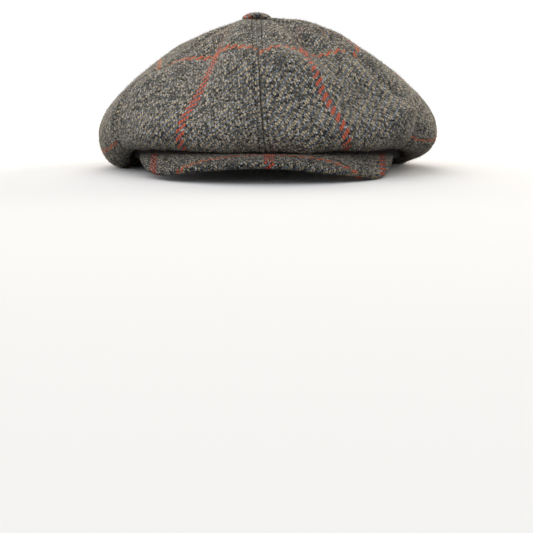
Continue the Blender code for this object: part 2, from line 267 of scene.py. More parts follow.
def crown_section(azimuth, stage):
    """Reach, height and rim reach of the smooth crown.

    A stage runs from 0 at the button to 1 at the rim, 2 at the hem, 3 at the band and 4 at its top.
    """
    rim_z = section_value("rim", azimuth) * band_top(HEAD_CENTRE_Y)
    share = section_value("hem", azimuth)
    hem_z = share * (PEAK_TOP + HEM_CLEARANCE) - (1 - share) * FLOOR_PRESS
    overhang = section_value("overhang", azimuth) * CROWN_OVERHANG
    outer = overhang * ROLL_OUTER_SHARE
    end_y = APEX_Y - reach_to_band(azimuth, hem_z) * np.cos(np.radians(azimuth))
    end_z = band_top(end_y)
    lift = np.minimum(overhang / 2, (end_z - hem_z) / 2)
    rim = reach_to_band(azimuth, hem_z + lift) + overhang

    start = np.arcsin(APEX_HOLE / rim)
    turn = start + (math.pi / 2 - start) * np.clip(stage, 0, 1)
    stations = [math.asin(station) for station in DOME_STATIONS]
    high, mid, low = (section_value(name, azimuth) for name in ("high", "mid", "low"))
    places = np.array([-stations[0], 0.0, *stations, math.pi / 2, math.pi - stations[2]])
    values = np.array([high, np.ones_like(high), high, mid, low, np.zeros_like(low), -low])
    height = smooth_value(places, values, turn)
    reach = rim * np.sin(turn)
    z = rim_z + (CROWN_TOP - rim_z) * height

    turn = math.pi / 2 * np.clip(stage - 1, 0, 1)
    reach = np.where(stage > 1, rim - outer + outer * np.cos(turn), reach)
    z = np.where(stage > 1, rim_z - (rim_z - hem_z) * np.sin(turn), z)

    turn = math.pi / 2 * np.clip(stage - 2, 0, 1)
    reach = np.where(stage > 2, rim - outer - (overhang - outer) * np.sin(turn), reach)
    z = np.where(stage > 2, hem_z + lift * (1 - np.cos(turn)), z)

    upright = hem_z + lift + (end_z - hem_z - lift) * np.clip(stage - 3, 0, 1)
    reach = np.where(stage > 3, reach_to_band(azimuth, upright), reach)
    return reach, np.where(stage > 3, upright, z), rim


def row_stages():
    """The stages of a gore's rows, from the button to the band's top."""
    return np.concatenate([
        np.linspace(0, 1, DOME_ROWS, endpoint=False),
        np.linspace(1, 3, 2 * ROLL_ROWS, endpoint=False),
        np.linspace(3, 4, RETURN_ROWS + 1),
    ])


def gore_width(gore):
    """Width of a gore at each of row_stages(), as its seams lie at the button."""
    stages = row_stages()
    middle = np.full(len(stages), (gore["left_top"] + gore["right_top"]) / 2)
    return math.radians(gore["right_top"] - gore["left_top"]) * crown_section(middle, stages)[0]


def crown_cloth(gore, share):
    """Points of a gore's outer face and the cloth that lies there, for shares across it.

    share has a row for each of row_stages(). The cloth is measured from the gore's own middle and
    its point, flat as it was cut.
    """
    stage = np.repeat(row_stages()[:, None], share.shape[1], axis=1)
    steps = DOME_STEPS * np.clip(stage, 0, 1) + ROLL_STEPS * np.clip(stage - 1, 0, 1)
    lean = steps / (DOME_STEPS + ROLL_STEPS)
    left = gore["left_top"] + (gore["left_hem"] - gore["left_top"]) * lean
    right = gore["right_top"] + (gore["right_hem"] - gore["right_top"]) * lean
    azimuth = left + (right - left) * share
    flat = crown_section(azimuth.ravel(), stage.ravel())
    reach, z, rim = (values.reshape(share.shape) for values in flat)

    run = np.gradient(reach, axis=0)
    fall = -np.gradient(z, axis=0)
    length = np.hypot(run, fall)
    down = np.cumsum(np.hypot(np.diff(reach, axis=0, prepend=reach[:1]),
                              np.diff(z, axis=0, prepend=z[:1])), axis=0) + APEX_HOLE
    angle = np.radians(azimuth - (left + right) / 2)
    bend = angle * run / length
    across = reach * angle * np.sinc(bend / math.pi)
    down_cloth = down - reach * angle * np.sin(bend / 2) * np.sinc(bend / 2 / math.pi)

    width = np.radians(right - left) * reach
    away = np.minimum(share, 1 - share) * width
    sink = seam_sink(away, down, reach, stage) + soft_sink(azimuth, reach / rim, stage)
    sink -= np.where(stage < 1, POINT_RISE * np.exp(-((reach / POINT_REACH) ** 2)), 0)
    free = np.clip((away - CREASE_HALF) / SEAM_VALLEY, 0, 1) * (stage < 3)
    sink += ripple_sink(across, down) * free
    reach = reach - sink * fall / length
    z = np.maximum(0, z - sink * run / length)
    turn = np.radians(azimuth)
    points = np.stack([APEX_X + reach * np.sin(turn), APEX_Y - reach * np.cos(turn), z], -1)
    return points, np.stack([across, down_cloth], -1)


def seam_sink(away, down, reach, stage):
    """How far the cloth sinks beside a seam: valley, crease and the topstitching's dimples."""
    fade = np.minimum(1, reach / SEAM_FADE) * np.clip(2 - stage, 0, 1)
    valley = SEAM_SINK * np.exp(-((away / SEAM_VALLEY) ** 2))
    crease = CREASE_SINK * np.clip(stage + CREASE_LEAD, CREASE_LEAST, 1)
    crease *= np.exp(-((away / CREASE_HALF) ** 2))
    beat = 1 - STITCH_DIMPLE + STITCH_DIMPLE * np.cos(2 * math.pi * down / TOPSTITCH_PITCH)
    groove = GROOVE_SINK * beat * np.exp(-(((away - TOPSTITCH_AWAY) / GROOVE_HALF) ** 2))
    return fade * valley + (crease + groove) * np.clip(3 - stage, 0, 1)


def soft_sink(azimuth, share, stage):
    """How far the soft dents and tucks push the cloth in."""
    sink = np.zeros_like(share)
    for row in DENTS:
        dent = dict(zip(DENT_COLUMNS, row))
        along = share - dent["reach"]
        sink += form_depth(dent, azimuth - (dent["azimuth"] + dent["lean"] * along), along)
    sink *= stage < 1
    for row in TUCKS:
        tuck = dict(zip(TUCK_COLUMNS, row))
        sink += form_depth(tuck, azimuth - tuck["azimuth"], stage - tuck["stage"])
    return sink


def form_depth(form, turned, along):
    """Depth of a dent or tuck at places so many degrees and so far along from its middle."""
    across = ((turned + 180) % 360 - 180) / form["breadth"]
    return form["depth"] * MM * np.exp(-across**2 - (along / form["length"]) ** 2)


def ripple_sink(across, down):
    """Slow waves in the cloth."""
    sink = np.zeros_like(across)
    for row in RIPPLES:
        wave = dict(zip(RIPPLE_COLUMNS, row))
        angle = 2 * math.pi * (across / wave["across"] + down / wave["down"]) / MM
        sink += wave["height"] * MM * np.sin(angle + wave["turn"])
    return sink


def four_corners(grid):
    """The values of a grid at the four corners of each of its cells."""
    return np.stack([grid[:-1, :-1], grid[1:, :-1], grid[1:, 1:], grid[:-1, 1:]], 2)


def cloth_mesh(name, points, faces, cloth):
    """A smooth mesh with the lie of the cloth at each face corner as its UV map."""
    mesh = bpy.data.meshes.new(name)
    mesh.from_pydata(points.reshape(-1, 3).tolist(), [], faces)
    uv = mesh.uv_layers.new(name="cloth")
    uv.data.foreach_set("uv", cloth.astype(np.float32).ravel())
    mesh.shade_smooth()
    return mesh


def in_scene(name, data):
    """Put a mesh, light or camera into the scene as an object."""
    item = bpy.data.objects.new(name, data)
    bpy.context.scene.collection.objects.link(item)
    return item


def feed(tree, node, inputs):
    """Set or link a node's inputs, given by name or number."""
    for key, value in dict(inputs).items():
        if isinstance(value, bpy.types.NodeSocket):
            tree.links.new(value, node.inputs[key])
        else:
            node.inputs[key].default_value = value


def add_node(tree, kind, inputs=(), **settings):
    """Add a node with its settings, and set or link its inputs."""
    node = tree.nodes.new(kind)
    for name, value in settings.items():
        setattr(node, name, value)
    feed(tree, node, inputs)
    return node


def node_math(tree, operation, *values):
    """Output of a new Math node."""
    return add_node(tree, "ShaderNodeMath", enumerate(values), operation=operation).outputs[0]


def node_clamp(tree, value, low, high):
    """Keep a value between two limits."""
    return node_math(tree, "MAXIMUM", node_math(tree, "MINIMUM", value, high), low)


def node_choose(tree, share, first, second):
    """The first value where share is 1, and the second where it is 0."""
    rest = node_math(tree, "SUBTRACT", 1.0, share)
    return node_math(tree, "ADD", node_math(tree, "MULTIPLY", share, first),
                     node_math(tree, "MULTIPLY", rest, second))


def node_mix(tree, share, first, second):
    """Output of a new colour mix."""
    return add_node(tree, "ShaderNodeMix", {0: share, 6: first, 7: second},
                    data_type="RGBA").outputs[2]


def node_vector(tree, *values):
    """A vector made from up to three values."""
    return add_node(tree, "ShaderNodeCombineXYZ", enumerate(values)).outputs[0]


def node_split(tree, vector):
    """The three values of a vector."""
    return add_node(tree, "ShaderNodeSeparateXYZ", {0: vector}).outputs


def node_noise(tree, x, y, scale, detail):
    """Value of a flat noise at (x, y)."""
    return add_node(tree, "ShaderNodeTexNoise", {
        "Vector": node_vector(tree, x, y), "Scale": scale, "Detail": detail,
    }, noise_dimensions="2D").outputs[0]


def sockets_for(tree, inputs, outputs):
    """Give a node group its named sockets, and return its given values and its output node."""
    for name, kind, value in inputs:
        socket = tree.interface.new_socket(name, in_out="INPUT", socket_type="NodeSocket" + kind)
        if value is not None:
            socket.default_value = value
    for name, kind in outputs:
        tree.interface.new_socket(name, in_out="OUTPUT", socket_type="NodeSocket" + kind)
    return tree.nodes.new("NodeGroupInput").outputs, tree.nodes.new("NodeGroupOutput")


def make_twill():
    """The weave of the tweed: a two-and-two twill of beige warp and dark weft, thinly overchecked.

    The cloth's own place is counted in yarns. A warp yarn lies on top where its number less the
    weft yarn's, counted in fours, is 0 or 1.
    """
    tree = bpy.data.node_groups.new("tweed_twill", "ShaderNodeTree")
    given, result = sockets_for(tree, (
        ("Cloth", "Vector", None),
        ("Yarn Pitch", "Float", YARN_PITCH),
        ("Stripe Ends", "Float", STRIPE_ENDS),
        ("Ends Repeat", "Float", ENDS_REPEAT),
        ("Stripe Picks", "Float", STRIPE_PICKS),
        ("Picks Repeat", "Float", PICKS_REPEAT),
        ("Stripe Fade From", "Float", STRIPE_FADE_FROM),
        ("Cover", "Float", WEAVE_COVER),
        ("Warp Dark", "Color", (0.074, 0.070, 0.055, 1)),
        ("Warp Light", "Color", (0.63, 0.52, 0.355, 1)),
        ("Weft Dark", "Color", (0.012, 0.017, 0.026, 1)),
        ("Weft Light", "Color", (0.185, 0.207, 0.232, 1)),
        ("Fleck", "Color", (0.58, 0.59, 0.58, 1)),
        ("Stripe", "Color", (0.75, 0.15, 0.07, 1)),
    ), (("Color", "Color"), ("Height", "Float")))
    calc = partial(node_math, tree)
    across, down, _ = node_split(tree, given["Cloth"])
    x, y = (calc("DIVIDE", length, given["Yarn Pitch"]) for length in (across, down))
    strays = [node_noise(tree, *places, scale, 1.0)
              for places, scale in zip(((x, y), (y, x)), STRAY_SCALES)]
    x, y = (calc("ADD", at, calc("MULTIPLY_ADD", stray, YARN_STRAY, -YARN_STRAY / 2))
            for at, stray in zip((x, y), strays))
    end, pick = calc("FLOOR", x), calc("FLOOR", y)
    warp_up = calc("LESS_THAN", calc("FLOORED_MODULO", calc("SUBTRACT", end, pick), 4.0), 1.5)

    warp_run = calc("ADD", calc("SUBTRACT", end, y), 1.0)
    weft_run = calc("ADD", calc("SUBTRACT", x, pick), -2.0)
    height = node_choose(tree, warp_up, float_round(tree, warp_run, calc("FRACT", x)),
                         float_round(tree, weft_run, calc("FRACT", y)))

    warp = node_mix(tree, yarn_tone(tree, end, y, WARP_JUMP),
                    given["Warp Dark"], given["Warp Light"])
    weft = node_mix(tree, yarn_tone(tree, pick, x, WEFT_JUMP),
                    given["Weft Dark"], given["Weft Light"])
    fleck = node_noise(tree, calc("MULTIPLY", pick, FLECK_JUMP),
                       calc("MULTIPLY", x, FLECK_ALONG), 1.0, 2.0)
    fleck = node_clamp(tree, calc("MULTIPLY_ADD", fleck, *FLECK_RAMP), 0.0, 1.0)
    weft = node_mix(tree, fleck, weft, given["Fleck"])
    stripe_ends, stripe_picks = (
        calc("LESS_THAN", calc("FLOORED_MODULO", number, given[repeat]), given[stripe])
        for number, repeat, stripe in ((end, "Ends Repeat", "Stripe Ends"),
                                       (pick, "Picks Repeat", "Stripe Picks")))
    # Above the weft line the warp stripe fades towards the warp's own colour
    faded = calc("DIVIDE", calc("SUBTRACT", down, given["Stripe Fade From"]), STRIPE_FADE_RUN)
    kept = calc("SUBTRACT", 1.0, node_clamp(tree, faded, 0.0, STRIPE_FADE_MOST))
    warp = node_mix(tree, calc("MULTIPLY", stripe_ends, kept), warp, given["Stripe"])
    weft = node_mix(tree, stripe_picks, weft, given["Stripe"])

    fibres = (node_noise(tree, calc("MULTIPLY", x, fine_x), calc("MULTIPLY", y, fine_y), 1.0, 2.0)
              for fine_x, fine_y in (FIBRE_FINENESS, FIBRE_FINENESS[::-1]))
    fibre = node_choose(tree, warp_up, *fibres)
    height = calc("ADD", height, calc("MULTIPLY_ADD", fibre, FIBRE_RELIEF, -FIBRE_RELIEF / 2))
    # Painted shade: the colour is darkened where the yarns lie low in the weave
    shade = calc("MULTIPLY_ADD", height, WEAVE_DEPTH, given["Cover"])
    dim = add_node(tree, "ShaderNodeVectorMath", {
        0: node_mix(tree, warp_up, weft, warp), "Scale": calc("MAXIMUM", shade, WEAVE_DARKEST),
    }, operation="SCALE")
    feed(tree, result, {"Color": dim.outputs[0], "Height": height})
    return tree


def float_round(tree, run, across):
    """Height of a yarn that floats over two others: round across, and bowed along the float."""
    calc = partial(node_math, tree)
    along = calc("ADD", calc("FLOORED_MODULO", run, 4.0), -1.0)
    side = calc("MULTIPLY_ADD", across, 2.0, -1.0)
    bow, dome = (calc("SUBTRACT", 1.0, calc("MULTIPLY", off, off)) for off in (along, side))
    twist = calc("MULTIPLY_ADD", run, PLY_TWIST, across)
    ply = calc("ABSOLUTE", calc("SINE", calc("MULTIPLY", twist, math.pi)))
    whole = calc("MULTIPLY", calc("MULTIPLY_ADD", bow, FLOAT_BOW, 1 - FLOAT_BOW),
                 calc("MULTIPLY_ADD", dome, FLOAT_DOME, 1 - FLOAT_DOME))
    return calc("MULTIPLY", whole, calc("ADD", ply, PLY_GROOVE))


def yarn_tone(tree, number, along, jump):
    """Tone of one yarn of mixed wool, which changes slowly along it and jumps from yarn to yarn."""
    calc = partial(node_math, tree)
    tone = node_noise(tree, calc("MULTIPLY", number, jump),
                      calc("MULTIPLY", along, TONE_ALONG), 1.0, 1.5)
    return node_clamp(tree, calc("MULTIPLY_ADD", tone, *TONE_RAMP), 0.0, 1.0)


TWILL = make_twill()


def new_material(name, inputs):
    """A material whose shader has these inputs, with its node tree and the shader."""
    material = bpy.data.materials.new(name)
    material.use_nodes = True
    tree = material.node_tree
    shader = tree.nodes["Principled BSDF"]
    feed(tree, shader, inputs)
    return material, tree, shader


def node_bump(tree, height, strength, distance):
    """Normal of a surface with bumps of this height."""
    return add_node(tree, "ShaderNodeBump", {
        "Height": height, "Strength": strength, "Distance": distance}).outputs[0]


def tweed_material(name, fade_from=STRIPE_FADE_FROM, cover=WEAVE_COVER, sheen=0.3):
    """Wool tweed that reads the lie of the cloth from the piece's own UV map."""
    material, tree, shader = new_material(name, {
        "Roughness": 0.95, "Specular IOR Level": 0.15, "Sheen Weight": sheen,
        "Sheen Roughness": 0.5, "Sheen Tint": (0.80, 0.72, 0.58, 1)})
    cloth = add_node(tree, "ShaderNodeUVMap", uv_map="cloth")
    weave = add_node(tree, "ShaderNodeGroup", {
        "Cloth": cloth.outputs[0], "Stripe Fade From": fade_from, "Cover": cover,
    }, node_tree=TWILL).outputs
    feed(tree, shader, {"Base Color": weave["Color"],
                        "Normal": node_bump(tree, weave["Height"], 0.7, 0.45 * MM)})
    return material


CROWN_TWEED = tweed_material("crown_tweed")


def make_gore(gore):
    """One gore as a wall of cloth."""
    even = np.linspace(0, 1, GORE_CELLS_ACROSS + 1)
    crowded = even - EDGE_CROWDING * np.sin(2 * math.pi * even) / (2 * math.pi)
    share = 0.5 + (crowded - 0.5) * (1 - SEAM_GAP / gore_width(gore)[:, None])
    points, cloth = crown_cloth(gore, share)
    below = cloth[..., 1] - gore["line"] * MM
    slant = gore["slant"] * below * (1 - below / SLANT_REACH)
    lie = np.stack([cloth[..., 0] - gore["stripe"] * MM - slant + STRIPE_ENDS / 2 * YARN_PITCH,
                    STRIPE_PICKS / 2 * YARN_PITCH - below / gore["shrink"]], -1)
    corner = np.arange(share.size).reshape(share.shape)
    faces = four_corners(corner).reshape(-1, 4).tolist()
    name = "gore_" + gore["name"]
    piece = in_scene(name, cloth_mesh(name, points, faces, four_corners(lie)))
    piece.data.materials.append(CROWN_TWEED)
    wall = piece.modifiers.new("cloth_wall", "SOLIDIFY")
    wall.thickness = CLOTH_WALL
    wall.offset = -1
    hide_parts("panel_" + gore["name"])
    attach(piece, "root")


for row in GORES:
    make_gore(dict(zip(GORE_COLUMNS, row)))

# ---- Band --------------------------------------------------------------------
# A plain strip of strong cotton round the cap's opening, with rounded folded edges. The crown
# hides it from the front. It leans with the cap, so that its lower edge rises towards the peak.

BAND_AROUND = 288
BAND_FACE_POINTS = 20
BAND_FOLD_POINTS = 8
RIB_PITCH = 0.5 * MM
RIB_TURN = 3.2
RIB_SHARE = 0.18


def band_section():
    """One section of the band, as (offset from its inner face, rise): a tall round-ended loop."""
    radius = BAND_WALL / 2
    rises = np.linspace(radius, BAND_HEIGHT - radius, BAND_FACE_POINTS)
    turn = np.linspace(0, math.pi, BAND_FOLD_POINTS + 2)[1:-1]
    upper = np.stack([radius + radius * np.cos(turn), rises[-1] + radius * np.sin(turn)], -1)
    lower = np.stack([radius - radius * np.cos(turn), rises[0] - radius * np.sin(turn)], -1)
    outer = np.stack([np.full(len(rises), BAND_WALL), rises], -1)
    inner = np.stack([np.zeros(len(rises)), rises[::-1]], -1)
    return np.concatenate([outer, upper, inner, lower])


def loft_mesh(name, loops, cloth, joined):
    """A mesh through closed loops of points, joined round at both ends or closed by flat caps.

    cloth has one more column than loops, and one more row if joined, for where it comes round.
    """
    count, size = loops.shape[:2]
    corner = np.arange(count * size).reshape(count, size)
    corner = np.concatenate([corner, corner[:, :1]], axis=1)
    if joined:
        corner = np.concatenate([corner, corner[:1]])
    faces = four_corners(corner).reshape(-1, 4).tolist()
    lie = four_corners(cloth).reshape(-1, 2)
    if not joined:
        faces += [corner[0, -2::-1].tolist(), corner[-1, :-1].tolist()]
        lie = np.concatenate([lie, cloth[0, -2::-1], cloth[-1, :-1]])
    return cloth_mesh(name, loops, faces, lie)


def make_band():
    """The band as a closed ring."""
    angle = 2 * math.pi * np.arange(BAND_AROUND) / BAND_AROUND
    section = band_section()
    offset, rise = section[None, :, 0], section[None, :, 1]
    x = (HEAD_HALF_WIDTH + offset) * np.sin(angle)[:, None]
    y = -(HEAD_HALF_LENGTH + offset) * np.cos(angle)[:, None]
    rise = np.broadcast_to(rise, x.shape)
    foot = band_foot(HEAD_CENTRE_Y)
    loops = np.stack([
        x,
        HEAD_CENTRE_Y + y * math.cos(BAND_TILT) + rise * math.sin(BAND_TILT),
        foot - y * math.sin(BAND_TILT) + rise * math.cos(BAND_TILT),
    ], -1)
    closed = np.concatenate([section, section[:1]])
    girth = np.concatenate([[0], np.cumsum(np.hypot(*np.diff(closed, axis=0).T))])
    length = np.append(angle, 2 * math.pi) * (HEAD_HALF_WIDTH + HEAD_HALF_LENGTH) / 2
    cloth = np.stack(np.broadcast_arrays(length[:, None], girth), -1)
    piece = in_scene("head_band", loft_mesh("band", loops, cloth, True))
    piece.data.materials.append(BAND_COTTON)
    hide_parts("band")
    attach(piece, "root")


def cotton_material(name):
    """Dark grey-brown cotton drill with fine slanted ribs."""
    material, tree, shader = new_material(name, {"Roughness": 0.9, "Specular IOR Level": 0.2})
    calc = partial(node_math, tree)
    cloth = add_node(tree, "ShaderNodeUVMap", uv_map="cloth")
    across, along, _ = node_split(tree, cloth.outputs[0])
    x, y = (calc("DIVIDE", length, RIB_PITCH) for length in (across, along))
    rib = calc("SINE", calc("MULTIPLY", calc("SUBTRACT", x, y), RIB_TURN))
    share = calc("ADD", calc("MULTIPLY", rib, RIB_SHARE), node_noise(tree, x, y, 0.8, 3.0))
    colour = node_mix(tree, share, (0.016, 0.014, 0.012, 1), (0.075, 0.066, 0.056, 1))
    feed(tree, shader, {"Base Color": colour, "Normal": node_bump(tree, share, 0.5, 0.15 * MM)})
    return material


BAND_COTTON = cotton_material("band_cotton")
make_band()

# ---- Peak --------------------------------------------------------------------
# A stiff crescent covered in the same tweed above and below. It springs from the band's lower edge,
# droops at its two corners and has a soft round edge.

PEAK_GAP = 0.4 * MM
PEAK_REACH = 37 * MM
PEAK_FLARE = 2.3 * MM
PEAK_ROOT_SPREAD = math.radians(58)
PEAK_CORNER = 2.2
PEAK_FALL = 11.5 * MM
PEAK_BOW = 1.7

# Place across the peak from -1 to 1, and how far its free edge hangs there as a share of PEAK_FALL
PEAK_EDGE = ((-1, 0), (-0.85, 0.24), (-0.70, 0.66), (-0.55, 0.78), (-0.30, 0.54), (0, 0.36),
             (0.30, 0.66), (0.55, 0.97), (0.70, 0.90), (0.85, 0.34), (1, 0))
PEAK_ACROSS = 160
PEAK_ALONG = 26
PEAK_ROUND = 9
PEAK_STRIPE_X = -1.0 * MM
PEAK_LINE_Y = HEAD_CENTRE_Y - 113.5 * MM
PEAK_LINE_TILT = 0.03
PEAK_LINE_BOW = 2.3

# Blocking draws the cover forward over the stiffener, which opens its weave that way, and gathers
# it across, by these shares at the peak's root and at its free edge
PEAK_STRETCH = 1.4
PEAK_EASE = (1.04, 1.14)

# The stripes on the peak and the button don't fade: no cloth of theirs reaches so far
UNFADED = 1.0


def peak_top(place, share):
    """Points of the peak's upper face, for arrays of places across it and shares to its edge."""
    half_x = HEAD_HALF_WIDTH + BAND_WALL + PEAK_GAP
    half_y = HEAD_HALF_LENGTH + BAND_WALL + PEAK_GAP
    root_x = half_x * np.sin(place * PEAK_ROOT_SPREAD)
    root_y = -half_y * np.cos(place * PEAK_ROOT_SPREAD)
    tip_x = half_x * math.sin(PEAK_ROOT_SPREAD) + PEAK_FLARE
    tip_y = -half_y * math.cos(PEAK_ROOT_SPREAD)
    front_y = PEAK_GAP - half_y - PEAK_REACH
    turn = math.pi / 2 * place
    edge_x = tip_x * np.sign(place) * np.abs(np.sin(turn)) ** (2 / PEAK_CORNER)
    edge_y = tip_y + (front_y - tip_y) * np.maximum(0, np.cos(turn)) ** (2 / PEAK_CORNER)
    knots = np.array(PEAK_EDGE)
    first, last = 2 * knots[0] - knots[1], 2 * knots[-1] - knots[-2]
    first[1], last[1] = knots[0, 1], knots[-1, 1]
    knots = np.concatenate([[first], knots, [last]])
    fall = PEAK_FALL * smooth_value(knots[:, 0], knots[:, 1], place)
    x = root_x + (edge_x - root_x) * share
    y = HEAD_CENTRE_Y + root_y + (edge_y - root_y) * share
    return np.stack([x, y, band_foot(y) + PEAK_WALL - fall * share**PEAK_BOW], -1)


def make_peak():
    """The peak as one closed body."""
    place = np.linspace(-1, 1, PEAK_ACROSS + 1)[:, None]
    share = np.linspace(0, 1, PEAK_ALONG + 1)[None, :]
    top = peak_top(*np.broadcast_arrays(place, share))
    along = np.gradient(top, axis=1)
    along /= np.linalg.norm(along, axis=2, keepdims=True)
    up = np.cross(along, np.gradient(top, axis=0))
    up /= np.linalg.norm(up, axis=2, keepdims=True)
    up *= np.sign(up[..., 2:])
    radius = PEAK_WALL / 2
    length = np.linalg.norm(np.diff(top, axis=1), axis=2).sum(axis=1)[:, None, None]
    top = top[:, :1] + (top - top[:, :1]) * np.maximum(0, length - radius) / length
    turn = np.linspace(0, math.pi, PEAK_ROUND + 2)[None, 1:-1, None]
    hub = top[:, -1:] - radius * up[:, -1:]
    nose = hub + radius * (up[:, -1:] * np.cos(turn) + along[:, -1:] * np.sin(turn))
    under = (top - PEAK_WALL * up)[:, ::-1]
    loops = np.concatenate([top, nose, under], axis=1)
    loops[..., 2] = np.maximum(0, loops[..., 2])

    step = np.linalg.norm(np.diff(loops, axis=1, prepend=loops[:, :1]), axis=2)
    out = along[:, -1:, :2] / np.linalg.norm(along[:, -1:, :2], axis=2, keepdims=True)
    step[:, :PEAK_ALONG + 1] /= PEAK_STRETCH
    travel = np.cumsum(step, axis=1)
    cloth = loops[:, :1, :2] + travel[..., None] * out
    cloth = np.concatenate([cloth[:, :1] - PEAK_WALL * out, cloth], axis=1)
    cloth = cloth - np.array([PEAK_STRIPE_X, PEAK_LINE_Y])
    cloth[..., 1] += PEAK_LINE_BOW * cloth[..., 0] ** 2 - PEAK_LINE_TILT * cloth[..., 0]
    forward = np.clip(travel / travel[:, PEAK_ALONG:PEAK_ALONG + 1], 0, 1)
    cloth[:, 1:, 0] *= PEAK_EASE[0] + (PEAK_EASE[1] - PEAK_EASE[0]) * forward
    piece = in_scene("stiff_peak", loft_mesh("peak", loops[:, ::-1], cloth[:, ::-1], False))
    piece.data.materials.append(SHADED_PEAK_TWEED)
    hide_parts("peak")
    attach(piece, "root")


# The peak's tweed is a darker copy of the crown's: its cover below zero paints shade over all of
# it, standing in for the shadow the crown's overhang casts on the peak, and deepens the painted
# shade between its yarns
SHADED_PEAK_TWEED = tweed_material("peak_tweed_painted_shade", UNFADED, cover=-0.30, sheen=0.05)
make_peak()

# ---- Button ------------------------------------------------------------------
# A low domed button covered in the same tweed, sewn on where the six gores meet. The cloth is drawn
# in beneath it, which leaves soft gathers round its rim.

BUTTON_RADIUS = 8.8 * MM
BUTTON_HEIGHT = 4.6 * MM
BUTTON_FOOT = CROWN_TOP - 1.0 * MM
BUTTON_RIM = 0.16
BUTTON_DOME = 1.1
BUTTON_HOLLOW_LIFT = 1.5 * MM
BUTTON_HOLLOW_DEEP = 0.7
BUTTON_HOLLOW_HALF = math.radians(36)
BUTTON_GATHERS = 11
BUTTON_UNEVEN = 0.6
BUTTON_FOLD = 0.5 * MM
BUTTON_RINGS = 28
BUTTON_STEPS = 96
BUTTON_STRIPE = (-8.4 * MM, 4.5 * MM)

# The rings beneath the rim, as shares of the button's radius and of its height
BUTTON_UNDER = ((0.97, 0.09), (0.88, 0.03), (0.72, 0.01), (0.4, 0.0))

# How far from the middle, in button radii, the gathers and the hollow start, and over how far
BUTTON_FOLDED = (0.75, 0.5)
BUTTON_HOLLOWED = (0.7, 0.4)


def make_button():
    """The button, a turned dome with a flat foot."""
    turn = np.linspace(0, math.pi / 2, BUTTON_RINGS + 1)[1:]
    under_reach, under_rise = np.array(BUTTON_UNDER).T
    reach = BUTTON_RADIUS * np.concatenate([np.sin(turn), under_reach])
    dome = BUTTON_RIM + (1 - BUTTON_RIM) * np.cos(turn) ** BUTTON_DOME
    rise = BUTTON_HEIGHT * np.concatenate([dome, under_rise])
    angle = 2 * math.pi * np.arange(BUTTON_STEPS) / BUTTON_STEPS
    arc = np.cumsum(np.hypot(np.diff(reach, prepend=0), np.diff(rise, prepend=BUTTON_HEIGHT)))
    folded, hollowed = (np.clip(arc / BUTTON_RADIUS - start, 0, over)[:, None]
                        for start, over in (BUTTON_FOLDED, BUTTON_HOLLOWED))
    gathers = np.sin(BUTTON_GATHERS * angle + BUTTON_UNEVEN * np.sin(3 * angle))
    fold = BUTTON_FOLD * folded * gathers
    from_front = (angle + math.pi) % (2 * math.pi) - math.pi
    facing = np.exp(-((from_front / BUTTON_HOLLOW_HALF) ** 4))
    hollow = hollowed / BUTTON_HOLLOWED[1] * facing
    foot = (np.arange(len(reach)) >= BUTTON_RINGS)[:, None]
    out = (reach[:, None] + fold) * (1 - BUTTON_HOLLOW_DEEP * hollow * foot)
    x = APEX_X + out * np.sin(angle)
    y = APEX_Y - out * np.cos(angle)
    z = BUTTON_FOOT + rise[:, None] + fold + BUTTON_HOLLOW_LIFT * hollow * ~foot
    lie = np.stack([arc[:, None] * np.sin(angle), -arc[:, None] * np.cos(angle)], -1)

    work = bmesh.new()
    uv = work.loops.layers.uv.new("cloth")
    verts = [[work.verts.new(point) for point in ring] for ring in np.stack([x, y, z], -1)]
    crown = work.verts.new((APEX_X, APEX_Y, BUTTON_FOOT + BUTTON_HEIGHT))
    place = {crown: (0.0, 0.0)}
    for ring, spots in zip(verts, lie):
        place.update(zip(ring, spots))
    for j in range(BUTTON_STEPS):
        after = (j + 1) % BUTTON_STEPS
        work.faces.new((crown, verts[0][j], verts[0][after]))
        for inner, outer in zip(verts, verts[1:]):
            work.faces.new((inner[j], outer[j], outer[after], inner[after]))
    work.faces.new(verts[-1][::-1])
    for face in work.faces:
        face.smooth = True
        for loop in face.loops:
            u, v = place[loop.vert]
            loop[uv].uv = (u - BUTTON_STRIPE[0], v - BUTTON_STRIPE[1])
    mesh = bpy.data.meshes.new("button")
    work.to_mesh(mesh)
    work.free()
    piece = in_scene("covered_button", mesh)
    mesh.materials.append(BUTTON_TWEED)
    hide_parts("button")
    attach(piece, "root")


BUTTON_TWEED = tweed_material("button_tweed", UNFADED)
make_button()

# ---- Topstitching ------------------------------------------------------------
# A row of dark thread stitches on each side of every seam holds the seam's turnings flat. The
# stitches lie in the dimples that they pull into the cloth.

STITCH_LENGTH = 2.1 * MM
STITCH_THICKNESS = 0.6 * MM
STITCH_FROM = 9.5 * MM
STITCH_LAST_STAGE = 2.6

# The stitches differ in size, and their middles lie this share of their thickness over the floor
STITCH_UNEVEN = (0.82, 1.08)
STITCH_CLEAR = 0.55


def grown(name, base, group, values, material):
    """Run a geometry node group on a mesh, and keep the result as a plain object."""
    seed = in_scene(name + "_base", base)
    work = seed.modifiers.new("grow", "NODES")
    work.node_group = group
    wanted = dict(values, Material=material)
    for item in group.interface.items_tree:
        if item.in_out == "INPUT" and item.name in wanted:
            work[item.identifier] = wanted[item.name]
    seed.update_tag()
    ready = seed.evaluated_get(bpy.context.evaluated_depsgraph_get())
    mesh = bpy.data.meshes.new_from_object(ready)
    seed.modifiers.remove(work)
    bpy.data.objects.remove(seed)
    mesh.name = name
    piece = in_scene(name, mesh)
    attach(piece, "root")


